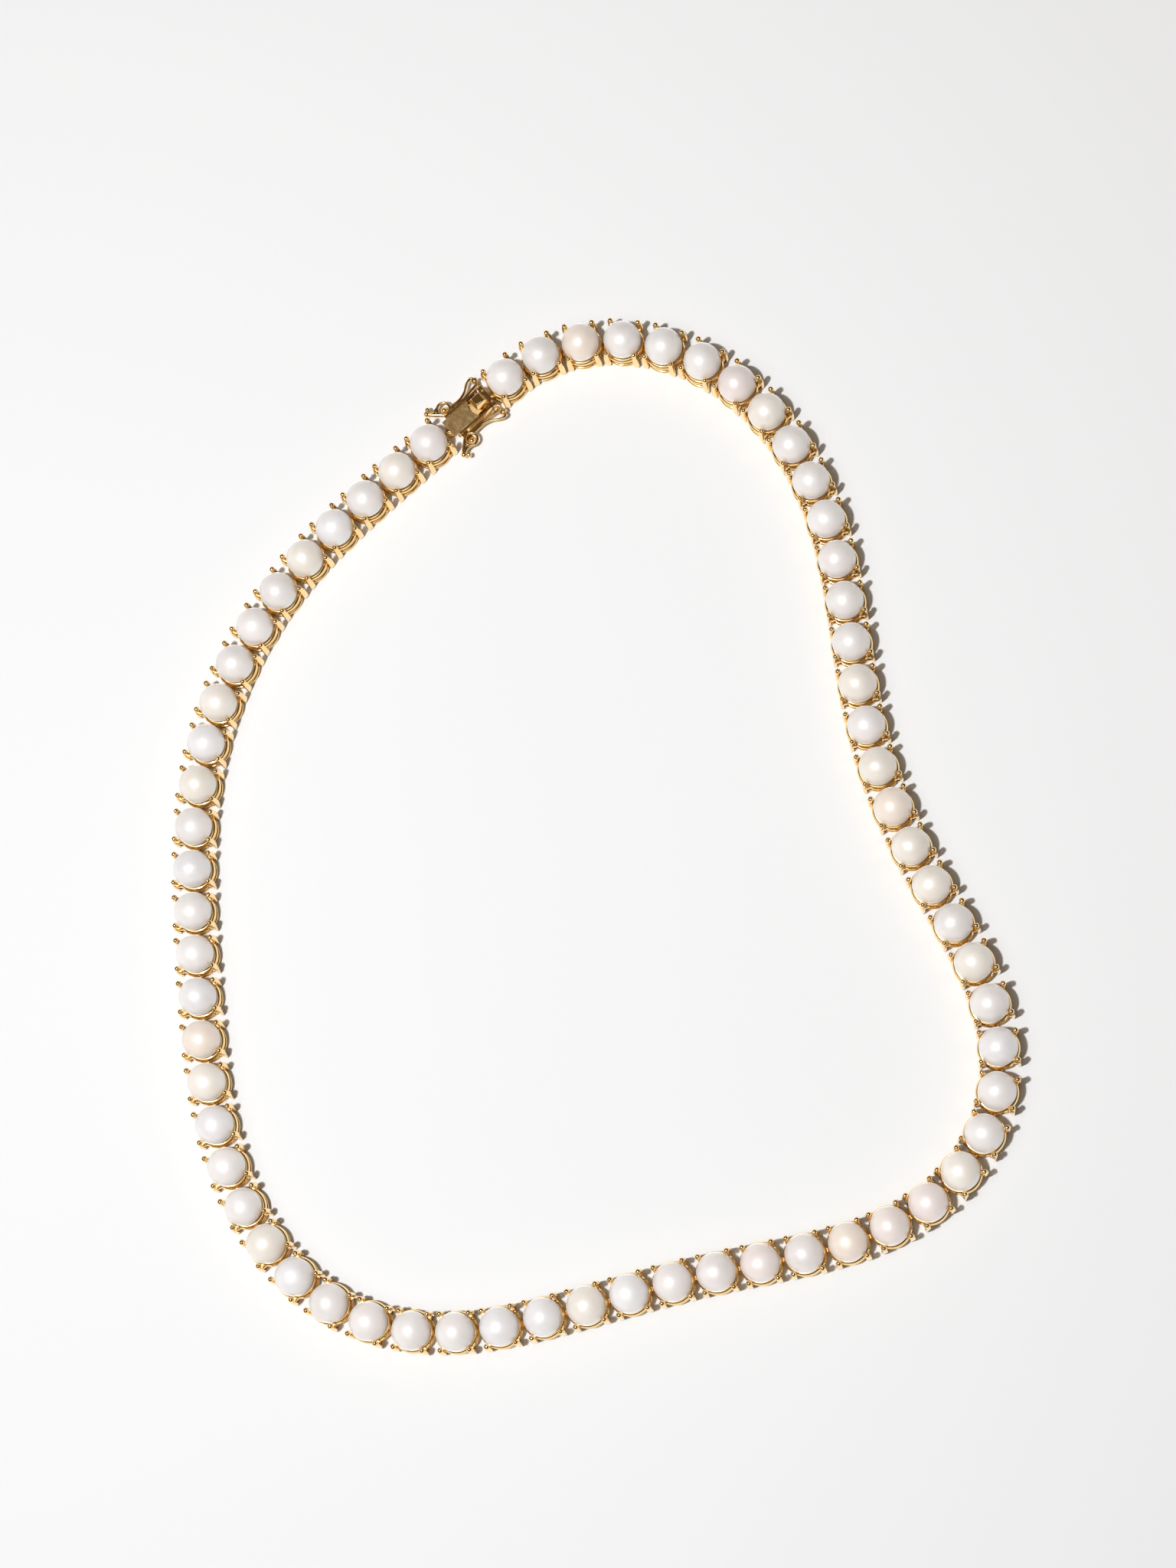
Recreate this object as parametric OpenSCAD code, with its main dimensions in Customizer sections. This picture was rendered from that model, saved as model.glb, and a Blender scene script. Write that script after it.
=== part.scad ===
// Pearl necklace: sixty-five claw-set pearls hinged into a closed loop, with a box clasp and two
// fold-over safety catches. Millimetres, +Z up. It lies flat on z = 0, with the origin in the
// middle of the loop's outline, and is drawn closed and laid down in a loose, uneven oval.

/* [Pearls] */
// Diameter of a pearl
pearl_d = 5.5; // [5.4:0.05:5.6]
// Height of a pearl's centre above the table
pearl_z = 3.75; // [3.7:0.01:3.78]
// Radius of the peg that holds a pearl from below
peg_r = 0.35; // [0.25:0.05:0.45]

/* [Settings] */
// Distance from one hinge pin to the next along a straight chain
pitch = 6.15; // [6.15:0.05:6.4]
// Distance from a setting's middle to the pin in its front edge
pin_x = 2.5; // [2.48:0.01:2.52]
// Outer radius of the upper ring, which seats the pearl
seat_r = 2.98; // [2.9:0.01:3]
// Outer radius of the lower ring, which lies on the table
base_r = 2.9; // [2.8:0.05:2.95]
// Width of a claw
claw_w = 0.9; // [0.8:0.02:0.92]
// Radius of the ball on a claw's tip
tip_r = 0.42; // [0.38:0.01:0.43]
// Height of the middle of that ball
tip_z = 4.4; // [4.4:0.05:4.7]

/* [Hinges] */
// Radius of a hinge pin
pin_r = 0.3; // [0.28:0.01:0.31]
// Gap between a pin and the setting that holds it
pin_fit = 0.01; // [0.01:0.01:0.03]
// Gap between a pin and the loop that turns on it
turn_gap = 0.04; // [0.03:0.01:0.05]

/* [Layout] */
// Direction of the clasp on the table, from its box to its tongue, in degrees
clasp_heading = 41; // [0:1:359]

/* [Clasp] */
// Outside width of the clasp's box
box_w = 3.7; // [3.6:0.05:3.8]
// Outside height of the clasp's box
box_h = 2.45; // [2.4:0.05:2.6]
// Thickness of the box's walls
wall = 0.32; // [0.3:0.01:0.34]
// Width of the square push button
button_w = 2.1; // [1.8:0.05:2.15]
// Height of the safety catches' wire above the table
catch_z = 1.6; // [1.58:0.01:1.65]
// Thickness of that wire
wire = 0.45; // [0.4:0.01:0.46]

/* [Hidden] */
$fn = 48;
links = 65;
// Links in each length of chain that moves as one piece, from the box round to the tongue
segment_links = [3, 3, 3, 3, 3, 3, 3, 2, 2, 2, 3, 3, 3, 2, 2, 2, 3, 3, 3, 3, 3, 3, 3, 2];

// How the chain lies: [number of the pin, degrees the chain turns left there]; pins between two
// entries take a value in between.
bends = [
    [0, 0], [1, -1], [5, 5.2], [10, 5.8], [14, 1], [16, 1], [20, 7.5], [24, 13], [26, 10],
    [29, 1.5], [32, -2.2], [34, 1], [37, 11.5], [39, 15], [41, 15], [43, 8.5], [46, -3],
    [48, -4.8], [50, -3.9], [54, 5], [58, 9.5], [64, 15.5], [65, 3]
];

pearl_r = pearl_d / 2;
loop_x = pitch - pin_x;          // from a setting's middle back to the loop behind it
base_top = 0.6;                  // top of the lower ring
seat_bottom = 1.45;              // bottom of the upper ring
seat_top = 2.35;                 // top of the upper ring
seat_in = sqrt(pow(pearl_r + 0.03, 2) - pow(pearl_z - seat_top, 2)); // its edge under the pearl
lug_r = 0.55;                    // ears round a hinge pin
lug_bottom = 1.35;               // upper ear
lug_top = 1.85;
loop_r = 0.62;                   // loop that turns on a hinge pin
loop_bottom = 0.7;
loop_top = 1.25;
pin_bottom = 0.05;
claw_at = [2.09, 2.685];         // middle of a claw's strip
claw_t = 0.53;                   // thickness of a claw's strip
tip_at = [2.02, 2.49];           // middle of a claw's ball
peg_top = 3.0;

box_pin = [-3.7, 0];             // pin that joins the chain to the box
tongue_pin = [4.85, 0];          // pin that joins the chain to the tongue
box_back = -2.95;
box_mouth = 3.1;
floor_t = 0.35;
cavity_w = box_w - 2 * wall;
cover_bottom = 2.0;
cover_top = 2.25;
cover_back = -3.75;
cover_mouth = 1.0;
tongue_w = 2.6;
tongue_bottom = 0.5;
tongue_t = 0.3;
fold = [-1.9, 1.12];             // middle of the spring leaf's fold, [along, up]
fold_r = 0.2;
block_front = 3.3;
block_back = 4.05;
button_at = 2.2;                 // middle of the push button along the clasp
button_bottom = 2.85;
button_top = 4.0;
catch_axis = 3.95;               // the catches' hinge line along the clasp
catch_v = 3.25;                  // middle of a catch's hinge end across the clasp
waist = [0.55, 2.36];            // where a catch's two strands meet
ring_at = [-2.12, 3.3];          // middle of the loop that goes round a ball stud
ring_r = 1.2;
tail_at = [-4.55, 4.25];         // bead on a catch's tail
tail_r = 0.42;
stud_at = [-2.2, 3.15];          // ball stud, [along, across]
stud_r = 0.48;
stud_z = 0.82;
ear_top = 0.32;

// ---------------------------------------------------------------- where the chain lies

function unit(angle) = [cos(angle), sin(angle)];
function sum(list) = list * [for (x = list) 1];

// Every hinge pin, [x, y, heading of the link in front of it], for a list of turns
function walk(turns) = [
    for (
        i = 0, at = box_pin, heading = 180 + turns[0];
        i <= links;
        at = at + pitch * unit(heading), i = i + 1, heading = heading + (i <= links ? turns[i] : 0)
    ) [at.x, at.y, heading]
];

// Solves the three equations rows * x = right, where rows is symmetric
function solve(rows, right) =
    (right[0] * cross(rows[1], rows[2]) + right[1] * cross(rows[2], rows[0])
        + right[2] * cross(rows[0], rows[1])) / (rows[0] * cross(rows[1], rows[2]));

// Spreads a small change over all the turns, so that the chain's end meets the tongue squarely
function closed(turns, rounds) =
    rounds == 0 ? turns : let (
        pins = walk(turns),
        end = pins[links],
        miss = [tongue_pin.x - end.x, tongue_pin.y - end.y, (540 - end[2]) * PI / 180],
        pull = [for (p = pins) [p.y - end.y, end.x - p.x, 1]],
        square = [for (a = [0:2]) [for (b = [0:2]) sum([for (q = pull) q[a] * q[b]])]],
        share = solve(square, miss)
    ) closed([for (i = [0:links]) turns[i] + pull[i] * share * 180 / PI], rounds - 1);

turns = closed([for (i = [0:links]) lookup(i, bends)], 5);
pins = walk(turns);

// Middle of link i, counted from 1, in the clasp's frame
function link_at(i) = [pins[i - 1].x, pins[i - 1].y] + loop_x * unit(pins[i - 1][2]);
function turned(p, angle) =
    [p.x * cos(angle) - p.y * sin(angle), p.x * sin(angle) + p.y * cos(angle)];

outline = [for (i = [1:links]) turned(link_at(i), clasp_heading)];
xs = [for (p = outline) p.x];
ys = [for (p = outline) p.y];
middle = [(min(xs) + max(xs)) / 2, (min(ys) + max(ys)) / 2];

module in_clasp_frame() {
    translate([-middle.x, -middle.y, 0]) rotate(clasp_heading) children();
}

module at_link(i) {
    in_clasp_frame() translate(link_at(i)) rotate(pins[i - 1][2]) children();
}

// First and last link of segment s, and its nodes' names
function first_link(s) = s == 0 ? 1 : first_link(s - 1) + segment_links[s - 1];
function last_link(s) = first_link(s) + segment_links[s] - 1;
function two_digits(n) = n < 10 ? str("0", n) : str(n);
function span_name(s) = str(two_digits(first_link(s)), "_", two_digits(last_link(s)));
function settings_name(s) = str("settings_", span_name(s));
function pearls_name(s) = str("pearls_", span_name(s));

// ---------------------------------------------------------------- one link

// A flat bar from z = low to z = high
module bar(from, to, low, high) {
    translate([from.x, from.y, low]) cube([to.x - from.x, to.y - from.y, high - low]);
}

module disc(at, r, low, high) {
    translate([at.x, at.y, low]) cylinder(r = r, h = high - low);
}

module base_ring() {
    inner = base_r - 0.7;
    bevel = 0.12;
    rotate_extrude()
        polygon([
            [inner, 0], [base_r - bevel, 0], [base_r, bevel],
            [base_r, base_top - bevel], [base_r - bevel, base_top], [inner, base_top]
        ]);
}

// Upper ring, coned inside to take the pearl
module seat_ring() {
    rotate_extrude()
        polygon([
            [1.95, seat_bottom], [seat_r - 0.2, seat_bottom], [seat_r, seat_bottom + 0.2],
            [seat_r, seat_top - 0.15], [seat_r - 0.12, seat_top], [seat_in, seat_top]
        ]);
}

// A flat strip with a round foot, which leans in and narrows to a ball, and the webs that join it
// to both rings
module claw() {
    narrow = 0.3;
    shoulder = 3.2;
    outer = claw_at.y + claw_t / 2;
    inner = claw_at.y - claw_t / 2;
    intersection() {
        translate([claw_at.x, outer, 0]) rotate([90, 0, 0]) linear_extrude(1) {
            translate([0, claw_w / 2]) circle(r = claw_w / 2);
            polygon([
                [-claw_w / 2, claw_w / 2], [claw_w / 2, claw_w / 2], [claw_w / 2, shoulder],
                [narrow, tip_z], [-narrow, tip_z], [-claw_w / 2, shoulder]
            ]);
        }
        rotate([90, 0, 90]) linear_extrude(4)
            polygon([
                [inner, 0], [outer, 0], [outer, shoulder],
                [tip_at.y + 0.25, tip_z], [tip_at.y - 0.15, tip_z], [inner, shoulder + 0.4]
            ]);
    }
    translate([tip_at.x, tip_at.y, tip_z]) sphere(r = tip_r);
    bar([1.64, 1.95], [2.3, 2.5], seat_bottom, seat_top - 0.05);
    bar([1.5, 1.6], [2.3, 2.5], 0.1, base_top);
}

// Ears that hold a hinge pin at the given place
module pin_ears(at) {
    disc(at, lug_r, 0, base_top);
    disc(at, lug_r, lug_bottom, lug_top);
}

module pin_hole(at) {
    disc(at, pin_r + pin_fit, -1, lug_top + 1);
}

module hinge_pin(at) {
    disc(at, pin_r, pin_bottom, lug_top);
}

// Loop that turns on a pin at the given place, on a neck that runs to x = root
module hinge_loop(at, root) {
    difference() {
        union() {
            disc(at, loop_r, loop_bottom, loop_top);
            bar([min(at.x, root), -0.3], [max(at.x, root), 0.3], loop_bottom, loop_top);
        }
        disc(at, pin_r + turn_gap, 0, lug_top);
    }
}

module setting() {
    back = -2.85;
    difference() {
        union() {
            base_ring();
            seat_ring();
            for (sx = [0, 1]) mirror([sx, 0]) for (sy = [0, 1]) mirror([0, sy]) claw();
            pin_ears([pin_x, 0]);
            bar([-0.4, 0.6 - base_r], [0.4, base_r - 0.6], 0.1, base_top);
            translate([0, 0, 0.1]) cylinder(r = peg_r, h = peg_top - 0.1);
            bar([back, -0.35], [-2.3, 0.35], 0.3, 1.7);
        }
        pin_hole([pin_x, 0]);
    }
    hinge_loop([-loop_x, 0], back + 0.1);
}

module pearl() {
    difference() {
        translate([0, 0, pearl_z]) sphere(r = pearl_r);
        cylinder(r = peg_r + 0.02, h = peg_top + 0.1);
    }
}

module settings(s) {
    color([0.86, 0.66, 0.34])
        for (i = [first_link(s):last_link(s)])
            at_link(i) {
                setting();
                hinge_pin([pin_x, 0]);
            }
}

module pearls(s) {
    color([0.93, 0.91, 0.91])
        for (i = [first_link(s):last_link(s)])
            at_link(i) pearl();
}

// ---------------------------------------------------------------- clasp, along x from box to tongue

module clasp_box() {
    color([0.86, 0.66, 0.34]) in_clasp_frame() difference() {
        union() {
            bar([box_back, -box_w / 2], [box_mouth, box_w / 2], 0, box_h);
            pin_ears(box_pin);
            bar([box_pin.x, -0.45], [box_back + 0.1, 0.45], 0, base_top);
            bar([box_pin.x, -0.45], [box_back + 0.1, 0.45], lug_bottom, lug_top);
            for (side = [-1, 1]) {
                disc([stud_at.x, side * stud_at.y], lug_r, 0, ear_top);
                translate([stud_at.x, side * stud_at.y / 2, ear_top / 2])
                    cube([2 * lug_r, stud_at.y, ear_top], center = true);
            }
        }
        bar([box_back + wall, -cavity_w / 2], [box_mouth + 1, cavity_w / 2], floor_t, cover_bottom);
        bar([box_back - 1, -cavity_w / 2], [box_mouth + 1, cavity_w / 2], cover_bottom, box_h + 1);
        pin_hole(box_pin);
        for (side = [-1, 1]) disc([stud_at.x, side * stud_at.y], 0.23, -1, ear_top + 1);
    }
}

// Plate let in between the box's long walls, notched where the button's stem comes through
module clasp_cover() {
    half = cavity_w / 2 - 0.02;
    color([0.8, 0.6, 0.32]) in_clasp_frame() difference() {
        bar([cover_back, -half], [cover_mouth, half], cover_bottom, cover_top);
        disc([button_at, 0], 1.75, 0, box_h);
    }
}

module box_hinge_pin() {
    color([0.86, 0.66, 0.34]) in_clasp_frame() hinge_pin(box_pin);
}

// Ball on a peg, pressed into the box's ear
module catch_stud(side) {
    color([0.9, 0.72, 0.4]) in_clasp_frame() translate([stud_at.x, side * stud_at.y]) {
        translate([0, 0, stud_z]) sphere(r = stud_r);
        translate([0, 0, 0.05]) cylinder(r = 0.22, h = stud_z - 0.05);
    }
}

// End block with the lower leaf that enters the box, the loop for the last link's pin, and an eye
// for each safety catch
module clasp_tongue() {
    eye_r = 0.55;
    eye_t = 0.4;
    arm_top = 1.0;
    color([0.86, 0.66, 0.34]) in_clasp_frame() {
        difference() {
            union() {
                bar([block_front, -box_w / 2], [block_back, box_w / 2], 0.3, 2.3);
                bar([-1.6, -tongue_w / 2], [block_front + 0.1, tongue_w / 2],
                    tongue_bottom, tongue_bottom + tongue_t);
                bar([-2.3, -tongue_w / 2 + 0.2], [-1.5, tongue_w / 2 - 0.2],
                    tongue_bottom, fold.y + 0.08);
                for (side = [-1, 1]) {
                    translate([catch_axis, side * catch_v / 2, (0.4 + arm_top) / 2])
                        cube([0.5, catch_v + eye_t, arm_top - 0.4], center = true);
                    translate([catch_axis, side * catch_v + eye_t / 2, catch_z])
                        rotate([90, 0, 0]) cylinder(r = eye_r, h = eye_t);
                    translate([catch_axis, side * catch_v, (0.6 + catch_z) / 2])
                        cube([0.5, eye_t, catch_z - 0.6], center = true);
                }
            }
            translate([fold.x, 2, fold.y]) rotate([90, 0, 0]) cylinder(r = fold_r + 0.03, h = 4);
            bar([fold.x, -tongue_w / 2], [-1.4, tongue_w / 2], fold.y - 0.22, box_h);
            translate([catch_axis, 5, catch_z]) rotate([90, 0, 0]) cylinder(r = wire / 2 + 0.05, h = 10);
        }
        hinge_loop(tongue_pin, block_back - 0.1);
    }
}

// Upper leaf: it rises from the fold to the button's stem
module spring_leaf() {
    half = 1.0;
    color([0.8, 0.6, 0.32]) in_clasp_frame() {
        translate([fold.x, half, fold.y]) rotate([90, 0, 0]) cylinder(r = fold_r, h = 2 * half);
        translate([0, half, 0]) rotate([90, 0, 0]) linear_extrude(2 * half)
            polygon([
                [fold.x, fold.y + 0.02], [fold.x + 0.1, fold.y - 0.15],
                [button_at + 0.5, 1.42], [button_at + 0.5, 1.72], [1.2, 1.72]
            ]);
        translate([button_at, 0, 0.5 * (1.5 + button_bottom)])
            cube([0.8, 0.8, button_bottom - 1.5], center = true);
    }
}

// Square button with bevelled edges, its sides squared to the clasp
module push_button() {
    top_w = 0.66 * button_w;
    edge = 0.35;
    color([0.88, 0.7, 0.38]) in_clasp_frame() translate([button_at, 0, 0]) intersection() {
        translate([-button_w / 2, -button_w / 2, button_bottom + 0.01])
            cube([button_w, button_w, button_top - button_bottom - 0.01]);
        for_bevel(top_w, edge, 0);
        for_bevel(top_w, edge, 90);
    }
}

// Prism whose section, across x, narrows from the button's full width to its top's
module for_bevel(top_w, edge, angle) {
    reach = button_w;
    rotate(angle) translate([0, reach, 0]) rotate([90, 0, 0]) linear_extrude(2 * reach)
        polygon([
            [-button_w / 2, button_bottom - 1], [button_w / 2, button_bottom - 1],
            [button_w / 2, button_bottom + edge], [top_w / 2, button_top],
            [-top_w / 2, button_top], [-button_w / 2, button_bottom + edge]
        ]);
}

// Points from one place to another along an S that is level at both ends
function s_curve(from, to, steps = 8) = [
    for (k = [0:steps])
        [from.x + (to.x - from.x) * k / steps, from.y + (to.y - from.y) * (1 - cos(180 * k / steps)) / 2]
];

// Flat outline of a safety catch on the side of +y: a hinge end, two strands that meet at a waist,
// an open loop round the stud and a tail
module catch_outline() {
    hinge_in = catch_v - 0.75;
    hinge_out = catch_v + 0.75;
    bend = 3.1;
    difference() {
        union() {
            polygon(concat(
                [[catch_axis, hinge_in], [catch_axis, hinge_out]],
                s_curve([bend, hinge_out], [waist.x, waist.y + 0.26]),
                s_curve([waist.x, waist.y - 0.26], [bend, hinge_in])
            ));
            polygon(concat(
                s_curve([waist.x, waist.y + 0.26], [-1.5, ring_at.y + 0.8]),
                s_curve([-1.9, ring_at.y - 1.15], [waist.x, waist.y - 0.26])
            ));
            translate(ring_at) circle(r = ring_r);
            polygon([
                [-2.4, ring_at.y + 1.1], [tail_at.x, tail_at.y + 0.25],
                [tail_at.x, tail_at.y - 0.25], [-3.0, ring_at.y + 0.5]
            ]);
        }
        polygon(concat(
            [[catch_axis - wire / 2, hinge_in + wire], [catch_axis - wire / 2, hinge_out - wire]],
            s_curve([bend, hinge_out - wire], [1.3, 2.62]),
            s_curve([1.3, 2.5], [bend, hinge_in + wire])
        ));
        translate(ring_at) circle(r = ring_r - wire);
        polygon([[-0.3, 2.62], [-1.4, 3.5], [-1.5, 2.9], [-0.4, 2.4]]);
    }
}

module safety_catch(side) {
    grip = 0.6;
    color([0.88, 0.7, 0.38]) in_clasp_frame() mirror([0, side < 0 ? 1 : 0, 0]) {
        difference() {
            translate([0, 0, catch_z - wire / 2]) linear_extrude(wire) catch_outline();
            translate([catch_axis - wire / 2, catch_v - 0.32, 0]) cube([1, 0.64, 3]);
        }
        translate([catch_axis, catch_v + grip, catch_z]) rotate([90, 0, 0])
            cylinder(r = wire / 2, h = 2 * grip);
        translate([tail_at.x, tail_at.y, catch_z]) sphere(r = tail_r);
    }
}

clasp_box();
clasp_cover();
box_hinge_pin();
catch_stud(1);  // catch_stud_left
catch_stud(-1);  // catch_stud_right
clasp_tongue();
spring_leaf();
push_button();
safety_catch(1);  // safety_catch_left
safety_catch(-1);  // safety_catch_right
for (s = [0:len(segment_links) - 1]) settings(s);
for (s = [0:len(segment_links) - 1]) pearls(s);
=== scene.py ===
"""Looks of the pearl necklace: rounded gold castings, nacre, table, light and camera."""
import math
import random

import bmesh
import bpy
import numpy as np
from mathutils import Euler, Matrix, Vector


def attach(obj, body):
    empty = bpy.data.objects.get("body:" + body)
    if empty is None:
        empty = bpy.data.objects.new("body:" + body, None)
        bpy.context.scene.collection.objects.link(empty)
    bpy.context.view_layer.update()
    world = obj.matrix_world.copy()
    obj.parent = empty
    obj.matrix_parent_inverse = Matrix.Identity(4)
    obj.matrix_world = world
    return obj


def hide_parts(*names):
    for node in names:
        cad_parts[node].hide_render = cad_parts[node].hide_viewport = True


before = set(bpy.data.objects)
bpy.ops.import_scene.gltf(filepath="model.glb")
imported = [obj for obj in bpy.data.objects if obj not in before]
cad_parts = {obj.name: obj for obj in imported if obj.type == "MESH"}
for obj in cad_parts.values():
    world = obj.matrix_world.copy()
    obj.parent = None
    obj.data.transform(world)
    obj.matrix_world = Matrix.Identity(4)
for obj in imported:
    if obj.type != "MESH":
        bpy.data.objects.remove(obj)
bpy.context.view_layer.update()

MM = 0.001

# ------------------------------------------------------------------ the chain's layout, in mm
LINKS = 65
PITCH = 6.15
PIN_X = 2.5
LOOP_X = PITCH - PIN_X
CLASP_HEADING = 41.0
BOX_PIN = (-3.7, 0.0)
TONGUE_PIN = (4.85, 0.0)
SEGMENT_LINKS = [3] * 7 + [2] * 3 + [3] * 3 + [2] * 3 + [3] * 7 + [2]
# [number of the pin, degrees the chain turns left there]
BENDS = [
    [0, 0], [1, -1], [5, 5.2], [10, 5.8], [14, 1], [16, 1], [20, 7.5], [24, 13], [26, 10],
    [29, 1.5], [32, -2.2], [34, 1], [37, 11.5], [39, 15], [41, 15], [43, 8.5], [46, -3],
    [48, -4.8], [50, -3.9], [54, 5], [58, 9.5], [64, 15.5], [65, 3],
]

# sizes of the pieces, in mm
PEARL_R = 2.75
PEARL_CUTS = 20
OUT_OF_ROUND = 0.012
BLOCK_BEVEL = 0.06
PEARL_Z = 3.75
TIP_R = 0.41
TIP_Z = 4.4
TIP_AT = (2.02, 2.49)
BASE_TOP = 0.6
SEAT_BOTTOM = 1.45
SEAT_TOP = 2.35
WIRE_R = 0.21
TAIL_R = 0.27
RING_R = 0.95
CATCH_Z = 1.6
STUD_AT = (-2.2, 3.15)
STUD_Z = 0.82
STUD_R = 0.52
WIRE_SIDES = 12
# beads on the clasp's +y side, [(middle, radius)]
TONGUE_BEADS = [((3.7, 1.1, 2.2), 0.27), ((3.85, 2.25, 1.05), 0.31)]
TAIL_BEADS = [((-4.55, 4.25, 0.0), 0.42), ((-4.02, 4.7, -0.15), 0.38)]

# how far a bar's section goes from an ellipse (2) towards a rectangle
ROUND = 2.0
SQUARED = 5.0

# edges that turn by more than this many degrees are shaded sharp
SHARP_ON_LINKS = 40.0
SHARP_ON_CLASP = 60.0
SHARP_NOWHERE = 180.0


def walk(turns):
    """Hinge pins along the chain, [x, y, heading of the link ahead], in the clasp's frame."""
    at = np.array(BOX_PIN)
    heading = 180.0 + turns[0]
    pins = [[*at, heading]]
    for turn in turns[1:]:
        angle = math.radians(heading)
        at = at + PITCH * np.array([math.cos(angle), math.sin(angle)])
        heading += turn
        pins.append([*at, heading])
    return np.array(pins)


def closed_turns():
    """The turns with a small change spread over them, so that the chain meets the tongue."""
    turns = np.interp(np.arange(LINKS + 1), *np.transpose(BENDS))
    for _ in range(5):
        pins = walk(turns)
        x, y, heading = pins[-1]
        miss = [TONGUE_PIN[0] - x, TONGUE_PIN[1] - y, math.radians(540.0 - heading)]
        pull = np.column_stack([pins[:, 1] - y, x - pins[:, 0], np.ones(LINKS + 1)])
        turns = turns + np.degrees(pull @ np.linalg.solve(pull.T @ pull, miss))
    return turns


def link_places():
    """Middle and heading of every link in the clasp's frame."""
    pins = walk(closed_turns())[:LINKS]
    angles = np.radians(pins[:, 2])
    ahead = np.column_stack([np.cos(angles), np.sin(angles)])
    return pins[:, :2] + LOOP_X * ahead, pins[:, 2]


LINK_AT, LINK_HEADING = link_places()
turn = math.radians(CLASP_HEADING)
spun = LINK_AT @ np.array([[math.cos(turn), math.sin(turn)], [-math.sin(turn), math.cos(turn)]])
middle = (spun.min(axis=0) + spun.max(axis=0)) / 2
CLASP_FRAME = Matrix.Translation((-middle[0], -middle[1], 0)) @ Matrix.Rotation(turn, 4, "Z")


def link_frame(i):
    """Where link i (from 1) is, in mm."""
    x, y = LINK_AT[i - 1]
    spin = Matrix.Rotation(math.radians(LINK_HEADING[i - 1]), 4, "Z")
    return CLASP_FRAME @ Matrix.Translation((x, y, 0)) @ spin


# ------------------------------------------------------------------ building meshes, in mm
class Shape:
    """Vertices and faces of one piece, gathered from many small forms."""

    def __init__(self):
        self.points = []
        self.faces = []
        self.slots = []

    def add(self, points, faces):
        """Adds a form in the first material slot."""
        start = len(self.points)
        self.points.extend(Vector(p) for p in points)
        self.faces.extend([start + k for k in face] for face in faces)
        self.slots.extend([0] * len(faces))

    def add_moved(self, other, matrix, slot=None):
        """Adds another shape through a matrix, its faces turned over if the matrix mirrors."""
        start = len(self.points)
        flip = matrix.determinant() < 0
        self.points.extend(matrix @ p for p in other.points)
        for face in other.faces:
            moved = [start + k for k in face]
            self.faces.append(moved[::-1] if flip else moved)
        self.slots.extend(other.slots if slot is None else [slot] * len(other.faces))


def tube_faces(rings, sides, looped):
    """Quads between rings of equal length, laid one after another."""
    faces = []
    for i in range(rings if looped else rings - 1):
        a, b = i * sides, (i + 1) % rings * sides
        for k in range(sides):
            nxt = (k + 1) % sides
            faces.append([a + k, a + nxt, b + nxt, b + k])
    return faces


def lathe(shape, outline, steps, at=(0.0, 0.0)):
    """A closed outline of (radius, z), anticlockwise, turned round the upright axis."""
    points = []
    for i in range(steps):
        angle = math.tau * i / steps
        points += [
            (at[0] + r * math.cos(angle), at[1] + r * math.sin(angle), z) for r, z in outline
        ]
    faces = [face[::-1] for face in tube_faces(steps, len(outline), True)]
    shape.add(points, faces)


def rounded(corners, radius, steps=3):
    """A closed outline with each corner cut to an arc-like curve of the given reach."""
    out = []
    n = len(corners)
    for i in range(n):
        here = Vector(corners[i])
        before = Vector(corners[i - 1]) - here
        after = Vector(corners[(i + 1) % n]) - here
        reach = min(radius, 0.45 * before.length, 0.45 * after.length)
        start = here + before.normalized() * reach
        end = here + after.normalized() * reach
        for k in range(steps + 1):
            t = k / steps
            out.append(tuple(start * (1 - t) ** 2 + here * (2 * t * (1 - t)) + end * t * t))
    return out


def prism(shape, outline, low, high, bevel):
    """An upright prism on an anticlockwise outline, its top and bottom edges eased."""
    n = len(outline)
    pts = [Vector(p) for p in outline]
    inward = []
    for i in range(n):
        edge = (pts[(i + 1) % n] - pts[i - 1]).normalized()
        inward.append(Vector((-edge.y, edge.x)))
    points = []
    for z, inset in ((low, bevel), (low + bevel, 0), (high - bevel, 0), (high, bevel)):
        points += [(*(p + q * inset), z) for p, q in zip(pts, inward)]
    faces = tube_faces(4, n, False)
    faces.append(list(range(n))[::-1])
    faces.append([3 * n + k for k in range(n)])
    shape.add(points, faces)


def block(shape, low, high):
    """A box from corner to corner with eased edges."""
    corners = [(low[0], low[1]), (high[0], low[1]), (high[0], high[1]), (low[0], high[1])]
    prism(shape, rounded(corners, BLOCK_BEVEL * 1.6), low[2], high[2], BLOCK_BEVEL)


def ball(shape, at, radius, around=18, up=12):
    """A ball as a stack of rings."""
    points = []
    for j in range(1, up):
        angle = math.pi * j / up
        z = at[2] - radius * math.cos(angle)
        r = radius * math.sin(angle)
        for k in range(around):
            a = math.tau * k / around
            points.append((at[0] + r * math.cos(a), at[1] + r * math.sin(a), z))
    faces = tube_faces(up - 1, around, False)
    low, high = len(points), len(points) + 1
    points += [(at[0], at[1], at[2] - radius), (at[0], at[1], at[2] + radius)]
    last = (up - 2) * around
    for k in range(around):
        nxt = (k + 1) % around
        faces.append([low, nxt, k])
        faces.append([high, last + k, last + nxt])
    shape.add(points, faces)


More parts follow.
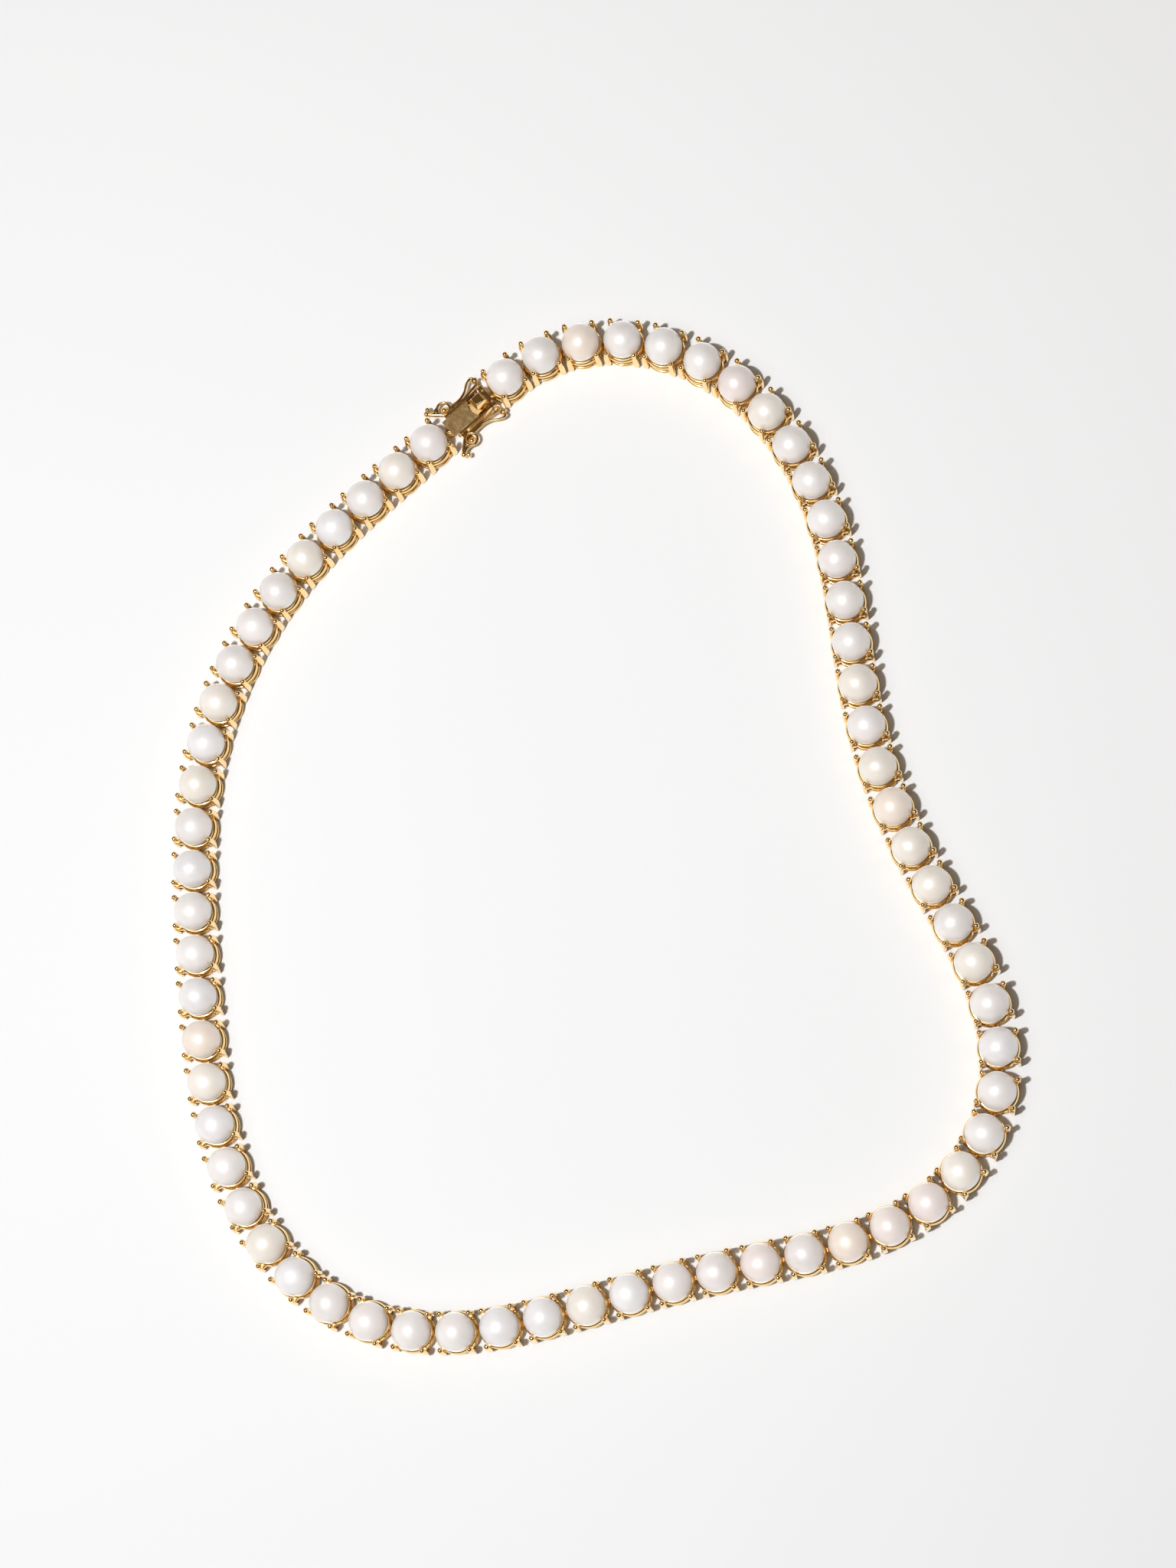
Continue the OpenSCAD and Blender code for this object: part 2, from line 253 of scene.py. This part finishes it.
def sweep(shape, stations, side, sides, square):
    """A bar through stations [(x, y, z), half width, half thickness]; its width lies across
    the path and level with the vector side. Its section is an ellipse at square 2, and nearer
    to a rectangle above that."""
    side = Vector(side).normalized()
    places = [Vector(s[0]) for s in stations]
    points = []
    for i, (_, wide, thick) in enumerate(stations):
        ahead = (places[min(i + 1, len(places) - 1)] - places[max(i - 1, 0)]).normalized()
        across = (side - ahead * side.dot(ahead)).normalized()
        over = ahead.cross(across)
        for k in range(sides):
            a = math.tau * k / sides
            c, s = math.cos(a), math.sin(a)
            size = (abs(c) ** square + abs(s) ** square) ** (-1 / square)
            points.append(places[i] + across * (wide * c * size) + over * (thick * s * size))
    n = len(stations)
    faces = tube_faces(n, sides, False)
    faces.append(list(range(sides))[::-1])
    faces.append([(n - 1) * sides + k for k in range(sides)])
    shape.add(points, faces)


def curve_points(corners, per_span):
    """A smooth path through its corners (Catmull-Rom)."""
    pts = [Vector(p) for p in corners]
    last = len(pts) - 1
    out = []
    for i in range(last):
        b, c = pts[i], pts[i + 1]
        a = pts[i - 1] if i > 0 else b * 2 - c
        d = pts[i + 2] if i + 2 <= last else c * 2 - b
        for k in range(per_span):
            t = k / per_span
            out.append(
                0.5 * ((2 * b) + (c - a) * t + (2 * a - 5 * b + 4 * c - d) * t * t
                       + (3 * b - 3 * c + d - a) * t * t * t)
            )
    out.append(pts[-1])
    return out


def make_piece(name, shape, materials, body, replaced, sharp):
    """Turns a shape into a named object that rides on a body and stands for CAD nodes."""
    mesh = bpy.data.meshes.new(name)
    mesh.from_pydata([p * MM for p in shape.points], [], shape.faces)
    for material in materials:
        mesh.materials.append(material)
    mesh.polygons.foreach_set("material_index", shape.slots)
    mesh.shade_smooth()
    mesh.set_sharp_from_angle(angle=math.radians(sharp))
    mesh.update()
    piece = bpy.data.objects.new(name, mesh)
    bpy.context.scene.collection.objects.link(piece)
    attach(piece, body)
    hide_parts(*replaced)
    return piece


# ------------------------------------------------------------------ one link
def claw(shape):
    """A flat strip that stands on a round foot and leans in to a ball over the pearl."""
    foot, top = Vector((2.09, 2.685, 0)), Vector((2.05, 2.52, 4.4))
    stations = []
    for z, wide, thick in (
        (0.005, 0.12, 0.1), (0.05, 0.25, 0.19), (0.16, 0.36, 0.24), (0.36, 0.435, 0.26),
        (0.7, 0.45, 0.265), (1.6, 0.45, 0.265), (2.6, 0.44, 0.26), (3.2, 0.42, 0.25),
        (3.6, 0.38, 0.23), (4.0, 0.33, 0.22), (4.35, 0.29, 0.2),
    ):
        lean = max(0.0, (z - 2.8) / 1.6) ** 1.5
        at = (foot.lerp(top, lean).x, foot.lerp(top, lean).y, z)
        stations.append((at, wide, thick))
    sweep(shape, stations, (1, 0, 0), 16, SQUARED)
    ball(shape, (*TIP_AT, TIP_Z), TIP_R)


def setting():
    """Claw setting with its hinge pin, in the link's own frame."""
    shape = Shape()
    base = [(2.25, 0.0), (2.95, 0.0), (2.95, BASE_TOP), (2.25, BASE_TOP)]
    lathe(shape, rounded(base, 0.26, 4), 48)
    seat = [
        (1.95, SEAT_BOTTOM), (2.7, SEAT_BOTTOM), (3.0, SEAT_BOTTOM + 0.3),
        (3.0, SEAT_TOP - 0.35), (2.78, SEAT_TOP - 0.02), (2.44, SEAT_TOP),
    ]
    lathe(shape, rounded(seat, 0.2, 4), 48)
    one = Shape()
    claw(one)
    block(one, (1.64, 1.95, SEAT_BOTTOM), (2.3, 2.5, SEAT_TOP - 0.05))
    block(one, (1.5, 1.6, 0.1), (2.3, 2.5, BASE_TOP))
    for x in (1, -1):
        for y in (1, -1):
            shape.add_moved(one, Matrix.Diagonal((x, y, 1, 1)))
    ear = [(0.31, 0.0), (0.55, 0.0), (0.55, 1.0), (0.31, 1.0)]
    for low, high in ((0.0, BASE_TOP), (1.35, 1.85)):
        lathe(shape, rounded([(r, low + z * (high - low)) for r, z in ear], 0.08, 2), 20,
              (PIN_X, 0.0))
    lathe(shape, [(0.0, 0.06), (0.22, 0.05), (0.3, 0.12), (0.3, 1.76), (0.22, 1.84), (0.0, 1.85)],
          14, (PIN_X, 0.0))
    block(shape, (-0.4, -2.35, 0.1), (0.4, 2.35, BASE_TOP))
    lathe(shape, [(0.0, 0.3), (0.35, 0.3), (0.35, 2.9), (0.25, 3.0), (0.0, 3.0)], 12)
    block(shape, (-2.85, -0.35, 0.3), (-2.3, 0.35, 1.7))
    block(shape, (-3.3, -0.3, 0.7), (-2.6, 0.3, 1.25))
    loop = [(0.34, 0.7), (0.62, 0.7), (0.62, 1.25), (0.34, 1.25)]
    lathe(shape, rounded(loop, 0.12), 24, (-LOOP_X, 0.0))
    return shape


def rough_ball(radius, cuts, draw):
    """A ball of even quads, very slightly out of round."""
    lobes = [
        (Vector((draw.uniform(-1, 1), draw.uniform(-1, 1), draw.uniform(-1, 1))).normalized(),
         draw.uniform(0.0, OUT_OF_ROUND))
        for _ in range(3)
    ]
    index, points, faces = {}, [], []

    def corner(axis, sign, i, j):
        a = math.tan(math.pi / 4 * (2 * i / cuts - 1))
        b = math.tan(math.pi / 4 * (2 * j / cuts - 1))
        raw = [0.0, 0.0, 0.0]
        raw[axis] = sign
        raw[(axis + 1) % 3] = a
        raw[(axis + 2) % 3] = b
        out = Vector(raw).normalized()
        key = (round(out.x, 5), round(out.y, 5), round(out.z, 5))
        if key not in index:
            index[key] = len(points)
            shrink = 1.0 - sum(depth * out.dot(way) ** 2 for way, depth in lobes)
            points.append(out * radius * shrink)
        return index[key]

    for axis in range(3):
        for sign in (1, -1):
            for i in range(cuts):
                for j in range(cuts):
                    quad = [corner(axis, sign, *ij)
                            for ij in ((i, j), (i + 1, j), (i + 1, j + 1), (i, j + 1))]
                    faces.append(quad if sign > 0 else quad[::-1])
    return points, faces


# ------------------------------------------------------------------ materials
def new_material(name):
    """A new material, its node tree, its shader, and the coordinates its patterns follow."""
    material = bpy.data.materials.new(name)
    material.use_nodes = True
    tree = material.node_tree
    tree.nodes.clear()
    out = tree.nodes.new("ShaderNodeOutputMaterial")
    shader = tree.nodes.new("ShaderNodeBsdfPrincipled")
    tree.links.new(shader.outputs["BSDF"], out.inputs["Surface"])
    where = tree.nodes.new("ShaderNodeTexCoord")
    return material, tree, shader, where.outputs["Object"]


def noise(tree, where, scale, detail=3.0):
    """Value of a soft random pattern, finer with a larger scale."""
    node = tree.nodes.new("ShaderNodeTexNoise")
    node.inputs["Scale"].default_value = scale
    node.inputs["Detail"].default_value = detail
    tree.links.new(where, node.inputs["Vector"])
    return node.outputs["Fac"]


def ramp(tree, value, stops):
    """Colour that runs through [(position, colour)] as the value goes from 0 to 1."""
    node = tree.nodes.new("ShaderNodeValToRGB")
    band = node.color_ramp
    band.elements[0].position, band.elements[-1].position = stops[0][0], stops[-1][0]
    band.elements[0].color, band.elements[-1].color = (*stops[0][1], 1), (*stops[-1][1], 1)
    for position, colour in stops[1:-1]:
        band.elements.new(position).color = (*colour, 1)
    tree.links.new(value, node.inputs["Fac"])
    return node.outputs["Color"]


def spread(tree, value, low, high):
    """A pattern's value, stretched to lie between low and high."""
    node = tree.nodes.new("ShaderNodeMapRange")
    node.inputs["From Min"].default_value = 0.3
    node.inputs["From Max"].default_value = 0.7
    node.inputs["To Min"].default_value = low
    node.inputs["To Max"].default_value = high
    tree.links.new(value, node.inputs["Value"])
    return node.outputs["Result"]


def bump(tree, shader, height, depth, strength):
    """Fine relief of the given depth in metres."""
    node = tree.nodes.new("ShaderNodeBump")
    node.inputs["Distance"].default_value = depth
    node.inputs["Strength"].default_value = strength
    tree.links.new(height, node.inputs["Height"])
    tree.links.new(node.outputs["Normal"], shader.inputs["Normal"])


def gold(name, dark, light, smooth, rough):
    """Polished plated gold: faint tone changes, uneven polish and fine marks."""
    material, tree, shader, where = new_material(name)
    tone = noise(tree, where, 700.0)
    tree.links.new(ramp(tree, tone, [(0.3, dark), (0.7, light)]), shader.inputs["Base Color"])
    polish = noise(tree, where, 1600.0, 4.0)
    tree.links.new(spread(tree, polish, smooth, rough), shader.inputs["Roughness"])
    bump(tree, shader, noise(tree, where, 3500.0, 2.0), 0.000006, 0.3)
    shader.inputs["Metallic"].default_value = 1.0
    return material


def nacre(name, body_colour, shade):
    """Pearl: milky body, soft lustre and a faint play of colour."""
    material, tree, shader, where = new_material(name)
    tone = noise(tree, where, 260.0, 2.0)
    middle_tone = tuple(0.5 * (a + b) for a, b in zip(body_colour, shade))
    colours = ramp(tree, tone, [(0.3, shade), (0.5, middle_tone), (0.72, body_colour)])
    tree.links.new(colours, shader.inputs["Base Color"])
    tree.links.new(spread(tree, noise(tree, where, 900.0), 0.36, 0.42), shader.inputs["Roughness"])
    bump(tree, shader, noise(tree, where, 1500.0, 3.0), 0.00003, 0.12)
    shader.inputs["IOR"].default_value = 2.0
    shader.inputs["Subsurface Weight"].default_value = 0.55
    shader.inputs["Subsurface Radius"].default_value = (1.0, 0.85, 0.8)
    shader.inputs["Subsurface Scale"].default_value = 0.0013
    shader.inputs["Sheen Weight"].default_value = 1.0
    shader.inputs["Sheen Roughness"].default_value = 0.38
    shader.inputs["Sheen Tint"].default_value = (1.0, 0.96, 0.92, 1.0)
    shader.inputs["Coat Weight"].default_value = 0.9
    shader.inputs["Coat Roughness"].default_value = 0.26
    shader.inputs["Coat IOR"].default_value = 1.5
    return material


GOLD = gold("polished_gold", (1.0, 0.68, 0.29), (1.0, 0.75, 0.39), 0.06, 0.12)
GOLD_FLAT = gold("brushed_gold", (0.98, 0.64, 0.28), (1.0, 0.72, 0.35), 0.22, 0.29)
PEARLS = [
    nacre("nacre_white", (0.83, 0.8, 0.79), (0.75, 0.715, 0.7)),
    nacre("nacre_cool", (0.82, 0.805, 0.81), (0.74, 0.72, 0.73)),
    nacre("nacre_blush", (0.83, 0.785, 0.775), (0.75, 0.705, 0.695)),
    nacre("nacre_cream", (0.85, 0.805, 0.75), (0.78, 0.73, 0.665)),
    nacre("nacre_pink", (0.85, 0.775, 0.75), (0.78, 0.7, 0.675)),
    nacre("nacre_peach", (0.86, 0.775, 0.7), (0.8, 0.7, 0.62)),
]
# pearls with a colour of their own: link number -> place in PEARLS
TINTED = {63: 5, 59: 4, 58: 3, 48: 5, 38: 4, 37: 4, 36: 5, 34: 4, 17: 5}
# places in PEARLS that the others are drawn from
COMMON = [0, 0, 0, 1, 2, 3]
# the link whose pearl is a little smaller than all the others
SMALL_PEARL = 21
SMALL_SIZE = 0.965

# ------------------------------------------------------------------ chain
draw = random.Random(7)
one_setting = setting()
first = 1
for count in SEGMENT_LINKS:
    last = first + count - 1
    span = f"{first:02d}_{last:02d}"
    metal, pearls = Shape(), Shape()
    for i in range(first, last + 1):
        metal.add_moved(one_setting, link_frame(i))
        size = PEARL_R * (SMALL_SIZE if i == SMALL_PEARL else draw.uniform(0.985, 1.0))
        pearl = Shape()
        pearl.add(*rough_ball(size, PEARL_CUTS, draw))
        tint = TINTED.get(i, draw.choice(COMMON))
        spot = link_frame(i) @ Matrix.Translation((0, 0, PEARL_Z))
        pearls.add_moved(pearl, spot, tint)
    make_piece(f"gold_settings_{span}", metal, [GOLD], f"links_{span}",
               [f"settings_{span}"], SHARP_ON_LINKS)
    make_piece(f"nacre_pearls_{span}", pearls, PEARLS, f"links_{span}",
               [f"pearls_{span}"], SHARP_NOWHERE)
    first = last + 1


# ------------------------------------------------------------------ clasp
def eased_copy(name, nodes, material, body, width, beads=()):
    """The given CAD solids as one piece with their sharp edges rounded off, and pairs of beads."""
    form = bmesh.new()
    for node in nodes:
        start = len(form.verts)
        form.from_mesh(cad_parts[node].data)
        form.verts.ensure_lookup_table()
        bmesh.ops.transform(form, matrix=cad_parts[node].matrix_world,
                            verts=form.verts[start:])
    bmesh.ops.remove_doubles(form, verts=form.verts, dist=0.0005 * MM)
    bmesh.ops.dissolve_limit(form, angle_limit=math.radians(1.0), verts=form.verts,
                             edges=form.edges)
    sharp = [e for e in form.edges if len(e.link_faces) == 2
             and e.calc_face_angle() > math.radians(30.0)]
    bmesh.ops.bevel(form, geom=sharp, offset=width * MM, segments=2, profile=0.5,
                    affect="EDGES", clamp_overlap=True)
    shape = Shape()
    form.verts.ensure_lookup_table()
    shape.add([v.co / MM for v in form.verts], [[v.index for v in f.verts] for f in form.faces])
    form.free()
    for (x, y, z), radius in beads:
        for side in (1, -1):
            ball(shape, CLASP_FRAME @ Vector((x, side * y, z)), radius)
    piece = make_piece(name, shape, [material], body, nodes, SHARP_ON_CLASP)
    flat = piece.modifiers.new("flat_faces", "WEIGHTED_NORMAL")
    flat.keep_sharp = True


def in_clasp(shape, side, height=0.0):
    """A shape drawn on the clasp's +y side, put on the given side of the clasp."""
    placed = Shape()
    flip = Matrix.Diagonal((1, side, 1, 1))
    placed.add_moved(shape, CLASP_FRAME @ Matrix.Translation((0, 0, height)) @ flip)
    return placed


def safety_catch(side, word):
    """Bent wire: a two-strand tail with beads, a ring round the stud, and a loop with a narrow
    waist that runs on round the hinge."""
    outer_tail = [(-4.55, 4.3), (-4.0, 3.9), (-3.4, 3.75), (-2.85, 3.84)]
    inner_tail = [(-4.4, 4.05), (-3.95, 3.5), (-3.5, 3.1), (-3.0, 2.65)]
    loop = [
        (-1.42, 2.6), (-0.7, 2.6), (0.45, 2.58), (1.7, 2.95), (2.7, 3.65), (3.5, 3.92),
        (3.9, 3.8), (3.95, 3.5), (3.95, 3.0), (3.9, 2.7), (3.5, 2.6), (2.7, 2.5), (1.7, 2.3),
        (0.65, 2.18), (-0.5, 2.21), (-1.8, 2.29),
    ]
    shape = Shape()
    for corners, radius in ((outer_tail, TAIL_R), (inner_tail, TAIL_R), (loop, WIRE_R)):
        path = curve_points([(x, y, 0.0) for x, y in corners], 5)
        sweep(shape, [(p, radius, radius) for p in path], (0, 0, 1), WIRE_SIDES, ROUND)
    ring = []
    for k in range(WIRE_SIDES):
        angle = math.tau * k / WIRE_SIDES
        ring.append((RING_R + WIRE_R * math.cos(angle), WIRE_R * math.sin(angle)))
    lathe(shape, ring, 32, STUD_AT)
    for at, radius in TAIL_BEADS:
        ball(shape, at, radius)
    make_piece(f"gold_safety_catch_{word}", in_clasp(shape, side, CATCH_Z), [GOLD],
               f"catch_{word}", [f"safety_catch_{word}"], SHARP_ON_CLASP)


def catch_stud(side, word):
    """Ball on a peg."""
    shape = Shape()
    ball(shape, (*STUD_AT, STUD_Z), STUD_R, 28, 18)
    lathe(shape, [(0.0, 0.05), (0.2, 0.05), (0.22, 0.08), (0.22, 0.5), (0.0, 0.5)], 20, STUD_AT)
    make_piece(f"gold_catch_stud_{word}", in_clasp(shape, side), [GOLD], "clasp_box",
               [f"catch_stud_{word}"], SHARP_ON_CLASP)


eased_copy("gold_clasp_box", ["clasp_box", "box_hinge_pin"], GOLD, "clasp_box", 0.12)
eased_copy("gold_clasp_cover", ["clasp_cover"], GOLD_FLAT, "clasp_box", 0.03)
eased_copy("gold_clasp_tongue", ["clasp_tongue"], GOLD, "tongue", 0.06, TONGUE_BEADS)
eased_copy("gold_spring_leaf", ["spring_leaf"], GOLD_FLAT, "push_leaf", 0.04)
eased_copy("gold_push_button", ["push_button"], GOLD, "push_leaf", 0.14)
for side, word in ((1, "left"), (-1, "right")):
    safety_catch(side, word)
    catch_stud(side, word)

# ------------------------------------------------------------------ table, light, camera
# lengths are in metres here, powers in watts and angles in degrees
TABLE_REACH = 1.5
TABLE_DROP = 0.00002
# reach and turn of the table's painted shade, which darkens it towards the lamps
PAINTED_SHADE_REACH = 0.15
PAINTED_SHADE_TURN = -80.0
# reach of the table's painted glow
FAR_GLOW_REACH = 1.6
LIGHT_AT = Vector((-120.5, -105.9, 572.0)) * MM
KEY_POWER = 13.2
KEY_RADIUS = 0.016
GLOW_POWER = 0.86
GLOW_WIDTH = 0.48
DIM_BROWN = (0.095, 0.067, 0.04)
CAMERA_AT = Vector((54.8, -96.6, 476.4)) * MM
CAMERA_TURN = (12.06, 6.64, -0.22)


def white_paper():
    """Table's material: matt, with painted shade that darkens it towards the lamps' side to even
    out their stronger light there, and a painted glow (an emission) that keeps it pale far from
    them.
    """
    paper, tree, shader, where = new_material("white_paper")
    grain = noise(tree, where, 900.0, 4.0)
    away = tree.nodes.new("ShaderNodeMapping")
    away.inputs["Rotation"].default_value = (0.0, 0.0, math.radians(PAINTED_SHADE_TURN))
    tree.links.new(where, away.inputs["Vector"])
    split = tree.nodes.new("ShaderNodeSeparateXYZ")
    tree.links.new(away.outputs["Vector"], split.inputs["Vector"])
    across = tree.nodes.new("ShaderNodeMapRange")
    across.inputs["From Min"].default_value = -PAINTED_SHADE_REACH
    across.inputs["From Max"].default_value = PAINTED_SHADE_REACH
    tree.links.new(split.outputs["X"], across.inputs["Value"])
    # painted shade: the base colour darkens towards the lamps' side, where their light is
    # strongest, to even out the table's brightness
    painted_shade_tones = [(0.0, (0.7, 0.707, 0.716)), (1.0, (0.863, 0.87, 0.882))]
    tree.links.new(ramp(tree, across.outputs["Result"], painted_shade_tones), shader.inputs["Base Color"])
    tree.links.new(spread(tree, grain, 0.85, 0.95), shader.inputs["Roughness"])
    shader.inputs["Specular IOR Level"].default_value = 0.2
    bump(tree, shader, grain, 0.00001, 0.1)
    # the gradient falls from 1 at the table's middle to 0 at the glow's reach from it; it drives a
    # painted glow, an emission that lights the table's far part, where the lamps' light has fallen
    # off, and keeps it pale
    shrunk = tree.nodes.new("ShaderNodeMapping")
    shrunk.inputs["Scale"].default_value = (1 / FAR_GLOW_REACH, 1 / FAR_GLOW_REACH, 1 / FAR_GLOW_REACH)
    tree.links.new(where, shrunk.inputs["Vector"])
    near = tree.nodes.new("ShaderNodeTexGradient")
    near.gradient_type = "SPHERICAL"
    tree.links.new(shrunk.outputs["Vector"], near.inputs["Vector"])
    pale = [(0.0, 0.85), (0.25, 0.82), (0.5, 0.7), (0.69, 0.47), (0.81, 0.18), (0.89, 0.0)]
    painted_glow_colours = [(position, (v, 0.98 * v, 0.95 * v)) for position, v in pale]
    tree.links.new(ramp(tree, near.outputs["Fac"], painted_glow_colours), shader.inputs["Emission Color"])
    shader.inputs["Emission Strength"].default_value = 1.0
    return paper


def table_top():
    """A plain pale square, just under the necklace."""
    mesh = bpy.data.meshes.new("table_top")
    corners = [(-1, -1), (1, -1), (1, 1), (-1, 1)]
    mesh.from_pydata([(TABLE_REACH * x, TABLE_REACH * y, 0) for x, y in corners], [],
                     [[0, 1, 2, 3]])
    mesh.materials.append(white_paper())
    floor = bpy.data.objects.new("table_top", mesh)
    bpy.context.scene.collection.objects.link(floor)
    floor.location.z = -TABLE_DROP
    return floor


def studio():
    """Surroundings: pale at table height, a dim warm brown above."""
    world = bpy.data.worlds.new("studio")
    world.use_nodes = True
    tree = world.node_tree
    background = tree.nodes["Background"]
    background.inputs["Strength"].default_value = 1.0
    where = tree.nodes.new("ShaderNodeTexCoord").outputs["Generated"]
    split = tree.nodes.new("ShaderNodeSeparateXYZ")
    tree.links.new(where, split.inputs["Vector"])
    sky = ramp(tree, split.outputs["Z"], [
        (0.0, (0.95, 0.89, 0.82)), (0.07, (0.55, 0.49, 0.43)), (0.16, (0.15, 0.125, 0.1)),
        (0.3, DIM_BROWN), (1.0, DIM_BROWN),
    ])
    tree.links.new(sky, background.inputs["Color"])
    return world


def lamp(name, kind, power):
    """A lamp at the studio light's place, turned to the necklace."""
    light = bpy.data.lights.new(name, kind)
    light.energy = power
    light.color = (0.975, 0.989, 1.0)
    holder = bpy.data.objects.new(name, light)
    bpy.context.scene.collection.objects.link(holder)
    holder.location = LIGHT_AT
    holder.rotation_euler = (-LIGHT_AT).to_track_quat("-Z", "Y").to_euler()
    return light


floor = table_top()
bpy.context.scene.world = studio()
key = lamp("key", "POINT", KEY_POWER)
key.shadow_soft_size = KEY_RADIUS
glow = lamp("glow", "AREA", GLOW_POWER)
glow.shape = "DISK"
glow.size = GLOW_WIDTH

camera_data = bpy.data.cameras.new("camera")
camera_data.lens = 79.1
camera_data.sensor_width = 36.0
camera = bpy.data.objects.new("camera", camera_data)
bpy.context.scene.collection.objects.link(camera)
camera.location = CAMERA_AT
camera.rotation_euler = Euler([math.radians(angle) for angle in CAMERA_TURN])
bpy.context.scene.camera = camera
bpy.context.scene.view_settings.view_transform = "Standard"
